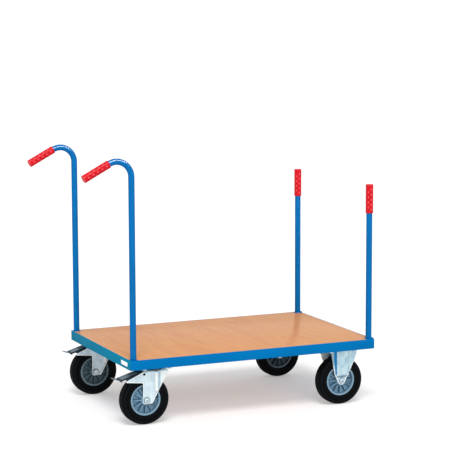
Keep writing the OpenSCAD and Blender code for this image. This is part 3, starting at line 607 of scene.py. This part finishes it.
# swivel forks and fixed brackets, pressed from sheet
caster = {
    "trail": 42, "plateLow": 230, "plateHalf": (70, 52.5), "plateThick": 5, "plateCorner": 9,
    "skirt": [(37.9, 3.4), (40.2, 3.4), (40.2, 0.8), (39.6, 0.2), (38.5, 0.2), (37.9, 0.8)],
    "skirtLow": 226.6, "legRows": 52, "crownRows": 16, "sheetEdge": 0.5,
}
fork = {
    "sheet": 3, "out": 31, "bend": 8, "top": 219, "leans": False,
    "rear": [(-52, 86), (-56, 90), (-56, 171), (-126, 178), (-126, 183), (-55, 215), (-46, 219)],
    "front": [(-19, 86), (-15, 90), (31, 176), (52, 205), (52, 215), (48, 219)],
    "columns": [-128 + 4 * i for i in range(17)] + [-61 + 1.3 * i for i in range(90)],
    "axle": (-42, 100), "corner": 5, "edgeWide": 4.5, "edgeLine": (7, 8.5), "dish": (13.5, 17),
    "frontShine": (17, 21), "ringInner": (12.3, 13.6), "ringOuter": (15.5, 19), "ringRise": 1.1,
    "ridge": {"middle": 0.2, "half": 8.2, "low": 128, "high": 216, "rise": 2.4},
    "groove": {"middle": 13.5, "half": 4.6, "low": 138, "high": 214, "rise": -1.8},
}
bracket = {
    "sheet": 3, "out": 31, "bend": 8, "top": 234.7, "leans": True,
    "rear": [(-31, 125), (-38, 161), (-47, 214), (-47, 234.7)],
    "front": [(29, 125), (43, 152), (59, 184), (70, 214), (70, 234.7)],
    "columns": [-72 + 1.2 * i for i in range(121)],
    "axle": (0, 100), "foot": 16, "corner": 6, "edgeWide": 5, "edgeFade": (150, 190),
    "panel": (-24, 28), "flankWide": (5, 12), "flankSpan": (120, 215), "panelFoot": 121, "rise": 5,
}


def roundedPath(points, radius):
    # a run of points whose inner corners become short curves
    path = [Vector(points[0])]
    for before, corner, after in zip(points, points[1:], points[2:]):
        before, corner, after = Vector(before), Vector(corner), Vector(after)
        first, second = before - corner, after - corner
        cutBack = min(radius, first.length * 0.45, second.length * 0.45)
        start, end = corner + first.normalized() * cutBack, corner + second.normalized() * cutBack
        for t in (0, 0.25, 0.5, 0.75, 1):
            path.append((1 - t) ** 2 * start + 2 * t * (1 - t) * corner + t * t * end)
    return path + [Vector(points[-1])]


def edgeAt(path, height):
    # where a sheet's edge stands at a height
    for a, b in zip(path, path[1:]):
        if a.y <= height <= b.y:
            return a.x if b.y - a.y < 1e-9 else a.x + (b.x - a.x) * (height - a.y) / (b.y - a.y)
    return path[0].x if height < path[0].y else path[-1].x


def foldRows(look, foot, paths):
    # rows of a sheet folded over a crown, as (y, z, outward y, outward z)
    straight = look["top"] - look["bend"]
    heights = {round(p.y, 2) for path in paths for p in path if foot < p.y < straight}
    count = caster["legRows"]
    heights |= {round(foot + (straight - foot) * i / count, 2) for i in range(count + 1)}
    levels = sorted(heights)
    levels = [levels[0]] + [b for a, b in zip(levels, levels[1:]) if b - a > 0.3]
    leg = [(-look["out"], z, -1, 0) for z in levels]
    for y, z in arcPoints((-look["out"] + look["bend"], straight), look["bend"], 180, 90, 8)[1:]:
        away = Vector((y + look["out"] - look["bend"], z - straight)).normalized()
        leg.append((y, z, away.x, away.y))
    inner = look["out"] - look["bend"]
    count = caster["crownRows"]
    crown = [(-inner + 2 * inner * i / count, look["top"], 0, 1) for i in range(1, count)]
    return leg + crown + [(-y, z, -a, b) for y, z, a, b in reversed(leg)]


def sheetEdges(look, rear, front, y, z):
    # a leaning sheet has its far leg turned half round against its near one
    left, right = edgeAt(rear, z), edgeAt(front, z)
    turn = smoothStep(look["bend"] - look["out"], look["out"] - look["bend"], y) if look["leans"] else 0
    return left - (left + right) * turn, right - (left + right) * turn


def foldedSheet(look, rear, front, relief):
    rows = foldRows(look, rear[0].y, (rear, front))
    columns = look["columns"]
    bm = bmesh.new()
    bmesh.ops.create_grid(bm, x_segments=len(columns) - 1, y_segments=len(rows) - 1, size=1)
    for vert in bm.verts:
        y, z, outY, outZ = rows[round((vert.co.y + 1) / 2 * (len(rows) - 1))]
        left, right = sheetEdges(look, rear, front, y, z)
        x = min(right, max(left, columns[round((vert.co.x + 1) / 2 * (len(columns) - 1))]))
        rise = relief(-x if look["leans"] and y > 0 else x, z)
        vert.co = (x, y + outY * rise, z + outZ * rise)
    bmesh.ops.remove_doubles(bm, verts=bm.verts, dist=0.05)
    bmesh.ops.recalc_face_normals(bm, faces=bm.faces)
    if sum(f.normal.z * f.calc_area() for f in bm.faces) < 0:
        bmesh.ops.reverse_faces(bm, faces=bm.faces)
    bmesh.ops.solidify(bm, geom=bm.faces, thickness=look["sheet"])
    bmesh.ops.recalc_face_normals(bm, faces=bm.faces)
    return softenEdges(bm, caster["sheetEdge"], 50)


def awayFrom(path, x, z):
    # distance from a point to a path
    nearest = 1e9
    for a, b in zip(path, path[1:]):
        run = b - a
        t = min(1, max(0, ((x - a.x) * run.x + (z - a.y) * run.y) / max(run.length_squared, 1e-9)))
        nearest = min(nearest, math.hypot(x - a.x - t * run.x, z - a.y - t * run.y))
    return nearest


def fluteRise(flute, x, z):
    # an upright pressed ridge or groove that fades out at both ends
    across, low, high = abs(x - flute["middle"]), flute["low"], flute["high"]
    ends = smoothStep(low, low + 8, z) * (1 - smoothStep(high - 5, high, z))
    return flute["rise"] * ends * (1 - smoothStep(flute["half"] - 3.5, flute["half"], across))


def forkRelief(x, z):
    # an upright ridge, a groove beside it, and a raised ring round the axle
    reach = math.hypot(x - fork["axle"][0], z - fork["axle"][1])
    ring = smoothStep(*fork["ringInner"], reach) * (1 - smoothStep(*fork["ringOuter"], reach))
    return fluteRise(fork["ridge"], x, z) + fluteRise(fork["groove"], x, z) + fork["ringRise"] * ring


def flankAt(z):
    # how wide the slope at the panel's rear is at a height
    narrow, wide = bracket["flankWide"]
    return narrow + (wide - narrow) * smoothStep(*bracket["flankSpan"], z)


def bracketRelief(x, z):
    # an upright panel stands proud in the middle of the leg
    low, high = bracket["panel"]
    across = smoothStep(low - flankAt(z), low, x) * (1 - smoothStep(high, high + 6, x))
    return bracket["rise"] * across * smoothStep(bracket["panelFoot"] - 5, bracket["panelFoot"] + 3, z)


forkPaths = [roundedPath(fork[edge], fork["corner"]) for edge in ("rear", "front")]
bracketFeet = [[Vector(p) for p in arcPoints(bracket["axle"], bracket["foot"], 270, end, 8)]
               for end in (210, 330)]
bracketPaths = [foot + roundedPath([foot[-1]] + bracket[edge], bracket["corner"])[1:]
                for foot, edge in zip(bracketFeet, ("rear", "front"))]


def forkForm():
    return foldedSheet(fork, *forkPaths, forkRelief)


def forkPaintedLight(x, y, z):
    # painted highlights on the edges, the ridge and the front, and a pale base over the outer leg; painted
    # shade on the flute sides, in the axle dish and along a line inside the edge; a painted blue reflection and
    # shade in the groove
    if abs(y) < fork["out"] - fork["bend"] / 2:
        return (0, 0, 0)
    rear, front = forkPaths
    edge = min(awayFrom(rear, x, z), awayFrom(front, x, z), z - rear[0].y)
    bright = 0.9 * (1 - smoothStep(1.5, fork["edgeWide"], edge))
    ridge, groove = (fluteRise(fork[flute], x, z) / fork[flute]["rise"] for flute in ("ridge", "groove"))
    steep = 4 * ridge * (1 - ridge)
    reach = math.hypot(x - fork["axle"][0], z - fork["axle"][1])
    dish = 1 - smoothStep(*fork["dish"], reach)
    shine = 0.7 * smoothStep(*fork["frontShine"], x)
    line = (smoothStep(fork["edgeWide"], fork["edgeWide"] + 1, edge)
            * (1 - smoothStep(*fork["edgeLine"], edge)))
    dark = min(1, 0.6 * steep + 0.25 * groove + dish + 0.3 * line)
    return (dark, max(bright, shine, 0.85 * ridge ** 2, 0.3), 0.3 * groove)


def bracketForm():
    return foldedSheet(bracket, *bracketPaths, bracketRelief)


def bracketPaintedLight(x, y, z):
    # painted highlights on the edges low down, a painted blue reflection on the panel's rear flank, painted
    # shade round its foot and front step, a dark painted reflection of the tyre at the rear edge, and a little
    # painted shade over the whole leg
    if abs(y) < bracket["out"] - bracket["bend"] / 2:
        return (0, 0, 0)
    if 0 < y < bracket["out"] - bracket["sheet"] / 2:
        return (0, 1, 0)  # the far leg's inner face, all painted light
    x = -x if y > 0 else x
    rear, front = bracketPaths
    edge = min(awayFrom(rear, x, z), awayFrom(front, x, z))
    bright = 0.9 * (1 - smoothStep(1.5, bracket["edgeWide"], edge))
    bright *= 1 - smoothStep(*bracket["edgeFade"], z)
    low, high = bracket["panel"]
    upright = smoothStep(bracket["panelFoot"], bracket["panelFoot"] + 12, z)
    rearEnd = low - flankAt(z)
    flank = upright * smoothStep(rearEnd - 1.5, rearEnd + 1, x) * (1 - smoothStep(low - 1, low + 1, x))
    step = smoothStep(high - 1, high + 3, x) * (1 - smoothStep(high + 3, high + 7, x)) * upright
    foot = 1 - smoothStep(3, 7, abs(z - bracket["panelFoot"] + 2)) if low < x < high else 0
    rearStrip = upright * (1 - smoothStep(rearEnd - 3, rearEnd, x)) * 0.5
    return (min(1, 0.08 + 0.35 * step + 0.6 * foot + rearStrip), bright, flank)


def topPlate():
    # the plate under the channel, with the transform that lifts it there
    x, y = caster["plateHalf"]
    form = plate(rectangle(-x, x, -y, y), caster["plateThick"], corner=caster["plateCorner"], edge=0.6)
    return form, Matrix.Translation((0, 0, caster["plateLow"]))


def raceSkirt():
    # the cover of the upper ball race, with the transform that lifts it there
    return turned(caster["skirt"], 72, True), Matrix.Translation((0, 0, caster["skirtLow"]))


for side in sides:
    wheelSpot = middle(side + "_swivel_tyre")
    spot = placed(wheelSpot.x + caster["trail"] * mm, wheelSpot.y, 0)
    addPiece(side + "_pressed_fork", forkForm(), spot, "zincPlate", side + "_swivel",
             [side + "_swivel_fork"], marks=forkPaintedLight)
    addPiece(side + "_swivel_head", merged(topPlate(), raceSkirt()), spot, "zincPlate", "cart_frame",
             [side + "_swivel_plate"])
    fixedSpot = middle(side + "_fixed_tyre")
    whole = merged((bracketForm(), Matrix()), topPlate())
    addPiece(side + "_pressed_bracket", whole, placed(fixedSpot.x, fixedSpot.y, 0), "zincPlate",
             "cart_frame", [side + "_fixed_bracket"], marks=bracketPaintedLight)
print("forks and brackets made")


# axle bolts and nuts
axle = {
    "rod": 6, "bore": 6.1, "hex": 10.4, "head": 7.2, "washer": 12, "washerThick": 2, "out": 31, "tip": 11.2,
    "collar": 8.2, "collarHigh": 1.8,
}


def hexForm(radius, height):
    bm = bmesh.new()
    bmesh.ops.create_cone(bm, cap_ends=True, segments=6, radius1=radius, radius2=radius, depth=height)
    bmesh.ops.translate(bm, vec=(0, 0, height / 2), verts=bm.verts)
    rim = [e for e in bm.edges if all(v.co.z > height - 0.01 for v in e.verts)]
    bmesh.ops.bevel(bm, geom=rim, offset=1.1, offset_type="OFFSET", segments=3, profile=0.6, affect="EDGES",
                    clamp_overlap=True, material=-1)
    return bm


def washerForm():
    r, t, bore = axle["washer"], axle["washerThick"], axle["bore"]
    return turned([(bore, 0), (r - 0.3, 0), (r, 0.3), (r, t - 0.5), (r - 0.5, t), (bore, t)], 48, True)


def boltForm():
    # along Z, with the head at the bottom
    out, rod, tip = axle["out"], axle["rod"], axle["out"] + axle["tip"]
    shank = turned([(0, -out), (rod, -out), (rod, tip - 2.2), (rod - 0.9, tip), (0, tip)], 32)
    head = hexForm(axle["hex"], axle["head"])
    return merged((shank, Matrix()), (head, Matrix.Translation((0, 0, -out)) @ turnAbout("X", 180)))


def nutForm():
    bore, collar, high = axle["bore"], axle["collar"], axle["collarHigh"]
    section = [(bore, 0), (collar, 0), (collar, high - 0.6), (collar - 0.6, high), (bore, high)]
    ring = turned(section, 32, True)
    foot = axle["out"] + axle["washerThick"]
    return merged((washerForm(), Matrix.Translation((0, 0, axle["out"]))),
                  (hexForm(axle["hex"], axle["head"] - 0.8), Matrix.Translation((0, 0, foot))),
                  (ring, Matrix.Translation((0, 0, foot + axle["head"] - high))))


def hexPaintedLight(x, y, z):
    # painted shade on the sides and the washer, painted highlights on the end faces, and a grey painted shade
    # on the shank
    reach, tall = math.hypot(x, y), abs(z)
    if reach < axle["rod"] + 0.1:
        return (0.35, 0, 0)
    if tall > axle["out"] + axle["head"] - 0.9:
        return (0, 0.6, 0)
    return (0.65, 0, 0)


for side, way in sides.items():
    facing = turnAbout("X", 90 if way < 0 else -90)
    for kind, bolt, nut, body in (("swivel", side + "_axle_bolt", side + "_axle_nut", side + "_swivel"),
                                  ("fixed", "fixed_axle_bolts", "fixed_axle_nuts", "cart_frame")):
        centre = middle(f"{side}_{kind}_tyre")
        spot = placed(centre.x, centre.y, centre.z, facing)
        addPiece(f"{side}_{kind}_hex_bolt", boltForm(), spot, "zincPlate", body, [bolt], 30, hexPaintedLight)
        addPiece(f"{side}_{kind}_hex_nut", nutForm(), spot, "zincPlate", body, [nut], 30, hexPaintedLight)
print("axle sets made")


# brake pedals
pedal = {
    "slope": 17, "pin": (-51, 206), "start": 2, "neck": 27.4, "tread": 30, "widen": (80, 86), "edge": 0.35,
    "length": 98, "level": 10.5, "sheet": 2.5, "roll": 4, "ribs": 6, "ribSpan": 25.4, "ribHalf": 1.9,
    "ribHigh": 1.2, "ribStart": (20, 24), "ribEnd": (91, 94), "across": 88,
    "flange": 2, "flangeOut": 27.4, "flangeFoot": [(29.6, -6), (74, 2), (77, 5), (78, 9), (0, 9)],
    "lip": (34, 18), "lipAt": (95, 0, 6), "lipTilt": -33,
    "pinHead": [(0, 32.5), (3.6, 32.4), (4.7, 32), (5, 31.4), (5, 31), (3, 31)],
}


def pedalPlate():
    # the tread along +X, rolled down at its end, with pressed ribs
    straight = pedal["length"] - pedal["roll"]
    start, level = pedal["start"], pedal["level"]
    path = [(start + (straight - start) * i / 46, level, 0, 1) for i in range(47)]
    for x, z in arcPoints((straight, level - pedal["roll"]), pedal["roll"], 90, 0, 6)[1:]:
        away = Vector((x - straight, z - level + pedal["roll"])).normalized()
        path.append((x, z, away.x, away.y))
    path.append((pedal["length"], level - pedal["roll"] - pedal["sheet"], 1, 0))
    bm = bmesh.new()
    bmesh.ops.create_grid(bm, x_segments=len(path) - 1, y_segments=pedal["across"], size=1)
    for vert in bm.verts:
        x, z, outX, outZ = path[round((vert.co.x + 1) / 2 * (len(path) - 1))]
        y = vert.co.y * (pedal["neck"] + (pedal["tread"] - pedal["neck"]) * smoothStep(*pedal["widen"], x))
        full = pedal["ribHigh"] * smoothStep(*pedal["ribStart"], x) * (1 - smoothStep(*pedal["ribEnd"], x))
        rise = 0
        for i in range(pedal["ribs"]):
            away = abs(y - pedal["ribSpan"] * (2 * i / (pedal["ribs"] - 1) - 1)) / pedal["ribHalf"]
            if away < 1:
                rise = full * (1 - away ** 3)
        vert.co = (x + outX * rise, y, z + outZ * rise)
    bmesh.ops.recalc_face_normals(bm, faces=bm.faces)
    if sum(f.normal.z * f.calc_area() for f in bm.faces) < 0:
        bmesh.ops.reverse_faces(bm, faces=bm.faces)
    bmesh.ops.solidify(bm, geom=bm.faces, thickness=pedal["sheet"])
    bmesh.ops.recalc_face_normals(bm, faces=bm.faces)
    return softenEdges(bm, pedal["edge"], 60)


def pedalForm():
    # the plate, a flange down each side with a round ear at the pin, and the toe lip
    flange = arcPoints((0, 0), 8, 100, 280, 16) + pedal["flangeFoot"]
    parts = [(pedalPlate(), Matrix())]
    for y in (-pedal["flangeOut"] + pedal["flange"], pedal["flangeOut"]):
        parts.append((plate(flange, pedal["flange"]), Matrix.Translation((0, y, 0)) @ turnAbout("X", 90)))
    long, half = pedal["lip"]
    lip = plate(rectangle(0, long, -half, half), 2, corner=6)
    parts.append((lip, Matrix.Translation(pedal["lipAt"]) @ turnAbout("Y", pedal["lipTilt"])))
    return merged(*parts)


def pedalMarks(x, y, z):
    # paler rib tops, darker borders; x runs out along the pedal
    x = -x
    if z < pedal["level"] - 1 or x > pedal["length"] - 2:
        return (0, 0.35 if x > pedal["length"] else 0, 0)
    top = smoothStep(pedal["level"] + 0.3, pedal["level"] + pedal["ribHigh"], z)
    border = smoothStep(pedal["neck"] - 3.5, pedal["neck"] - 2, abs(y))
    return (0.9 * border, 0.9 * top * (1 - border), 0)


for side in sides:
    wheelSpot = middle(side + "_swivel_tyre")
    pinX, pinZ = wheelSpot.x + (caster["trail"] + pedal["pin"][0]) * mm, pedal["pin"][1] * mm
    form = pedalForm()
    bmesh.ops.transform(form, matrix=Matrix.Scale(-1, 4, (1, 0, 0)), verts=form.verts)  # it runs along -X
    bmesh.ops.reverse_faces(form, faces=form.faces)
    addPiece(side + "_pedal", form, placed(pinX, wheelSpot.y, pinZ, turnAbout("Y", -pedal["slope"])),
             "pedalCoat", side + "_brake", [side + "_brake_pedal"], marks=pedalMarks)
    addPiece(side + "_pin", turned(mirroredUp(pedal["pinHead"]), 32),
             placed(pinX, wheelSpot.y, pinZ, alongY), "blackPin", side + "_swivel", [side + "_pedal_pin"])
print("pedals made")


# blank label on the push end's rail
label = {"corner": 2, "edge": 0.2}
low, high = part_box("label_plate")
size, centre = (high - low) / mm, middle("label_plate")
labelForm = plate(rectangle(-size.y / 2, size.y / 2, -size.z / 2, size.z / 2), size.x, **label)
facingPushEnd = Matrix(((0, 0, -1, 0), (-1, 0, 0, 0), (0, 1, 0, 0), (0, 0, 0, 1)))
addPiece("blank_label", labelForm, placed(high.x, centre.y, centre.z, facingPushEnd), "whiteLabel",
         "cart_frame", ["label_plate"])
print("label made")


# CAD nodes that stay as they are
nodeFinish = {
    "zincPlate": ["deck_screws", "clamp_screws", "caster_bolts", "caster_washers", "caster_nuts"],
    # the race balls take steel darkened as painted shade
    "shadowDarkSteel": ["race_balls"],
    "brightSteel": ["king_pins", "fixed_axle_sleeves"]
    + [side + end for side in sides for end in ("_axle_sleeve", "_swivel_rollers", "_fixed_rollers")],
    "shoeRubber": [side + "_brake_shoe" for side in sides],
}
for finish, names in nodeFinish.items():
    for name in names:
        nodes[name].data.materials.clear()
        nodes[name].data.materials.append(finishes[finish])
print("CAD nodes dressed")


# floor, light and camera
studio = {
    "floor": srgb(238, 237, 236), "floorGlow": 0.32, "sky": 0.5,
    "suns": [
        {"from": (-0.22, -0.5, 0.84), "angle": 24, "power": 1.4, "mirrored": True},
        {"from": (-0.2, -0.85, 0.45), "angle": 30, "power": 0.65, "mirrored": False},
    ],
    "strip": {"long": 3.6, "wide": 0.9, "power": 1500, "at": (0.32, -1.72, 3.01),
              "towards": (-0.43, -0.34, 1.06)},
    "lens": 143.1, "eye": (-2.9996, -7.1095, 1.7687), "yaw": 0.4187, "pitch": 0.1385, "roll": -0.0028,
}


def cameraRayMix(tree, seen, other, output):
    # what the camera, mirrors and glass see, and what lights the object
    path = tree.nodes.new("ShaderNodeLightPath")
    shown = path.outputs["Is Camera Ray"]
    for ray in ("Is Transmission Ray", "Is Glossy Ray"):
        either = tree.nodes.new("ShaderNodeMath")
        either.operation = "MAXIMUM"
        tree.links.new(shown, either.inputs[0])
        tree.links.new(path.outputs[ray], either.inputs[1])
        shown = either.outputs[0]
    mix = tree.nodes.new("ShaderNodeMixShader")
    for number, socket in enumerate((shown, other, seen)):
        tree.links.new(socket, mix.inputs[number])
    tree.links.new(mix.outputs[0], output)


def makeFloor():
    bm = bmesh.new()
    bmesh.ops.create_grid(bm, x_segments=8, y_segments=8, size=30)
    mesh = bpy.data.meshes.new("studioFloor")
    bm.to_mesh(mesh)
    bm.free()
    material, tree, _, links = newFinish("studioFloor", Base_Color=studio["floor"], Roughness=0.9,
                                         Specular_IOR_Level=0.05)
    glow = tree.nodes.new("ShaderNodeEmission")
    glow.inputs["Strength"].default_value = studio["floorGlow"]
    add = tree.nodes.new("ShaderNodeAddShader")
    plain = tree.nodes["Principled BSDF"].outputs[0]
    links.new(plain, add.inputs[0])
    links.new(glow.outputs[0], add.inputs[1])
    cameraRayMix(tree, add.outputs[0], plain, tree.nodes["Material Output"].inputs["Surface"])
    mesh.materials.append(material)
    floor = bpy.data.objects.new("studioFloor", mesh)
    bpy.context.scene.collection.objects.link(floor)


def makeWorld():
    world = bpy.data.worlds.new("studioSky")
    world.use_nodes = True
    bpy.context.scene.world = world
    tree = world.node_tree
    lit = tree.nodes["Background"]
    lit.inputs["Color"].default_value = (1, 1, 1, 1)
    lit.inputs["Strength"].default_value = studio["sky"]
    seen = tree.nodes.new("ShaderNodeBackground")
    seen.inputs["Color"].default_value = (1, 1, 1, 1)
    seen.inputs["Strength"].default_value = 1
    cameraRayMix(tree, seen.outputs[0], lit.outputs[0], tree.nodes["World Output"].inputs["Surface"])


def makeSun(sun):
    lamp = bpy.data.lights.new("softSun", "SUN")
    lamp.angle = math.radians(sun["angle"])
    lamp.energy = sun["power"]
    holder = bpy.data.objects.new("softSun", lamp)
    holder.rotation_euler = Vector(sun["from"]).to_track_quat("Z", "Y").to_euler()
    holder.visible_glossy = sun["mirrored"]
    bpy.context.scene.collection.objects.link(holder)


def makeStrip(strip):
    # a long soft box overhead that is seen only as a highlight in glossy paint
    lamp = bpy.data.lights.new("stripBox", "AREA")
    lamp.shape = "RECTANGLE"
    lamp.size, lamp.size_y, lamp.energy = strip["long"], strip["wide"], strip["power"]
    holder = bpy.data.objects.new("stripBox", lamp)
    away = (Vector(strip["at"]) - Vector(strip["towards"])).normalized()
    across = away.cross(Vector((1, 0, 0))).normalized()
    holder.matrix_world = (Matrix.Translation(strip["at"])
                           @ Matrix((across.cross(away), across, away)).transposed().to_4x4())
    holder.visible_camera = False
    holder.visible_diffuse = False
    lit = bpy.data.collections.new("stripLit")
    for piece in tubePieces:
        lit.objects.link(piece)
    holder.light_linking.receiver_collection = lit
    bpy.context.scene.collection.objects.link(holder)


def makeCamera():
    yaw, pitch, roll = studio["yaw"], studio["pitch"], studio["roll"]
    forward = Vector((math.sin(yaw) * math.cos(pitch), math.cos(yaw) * math.cos(pitch), -math.sin(pitch)))
    right = forward.cross(Vector((0, 0, 1))).normalized()
    up = right.cross(forward)
    right = right * math.cos(roll) + up * math.sin(roll)
    up = right.cross(forward)
    lens = bpy.data.cameras.new("photoCamera")
    lens.lens = studio["lens"]
    lens.clip_end = 200
    camera = bpy.data.objects.new("photoCamera", lens)
    camera.matrix_world = (Matrix.Translation(studio["eye"])
                           @ Matrix((right, up, -forward)).transposed().to_4x4())
    bpy.context.scene.collection.objects.link(camera)
    bpy.context.scene.camera = camera


makeFloor()
makeWorld()
for sun in studio["suns"]:
    makeSun(sun)
makeStrip(studio["strip"])
makeCamera()
bpy.context.scene.view_settings.view_transform = "Standard"
print("studio made")
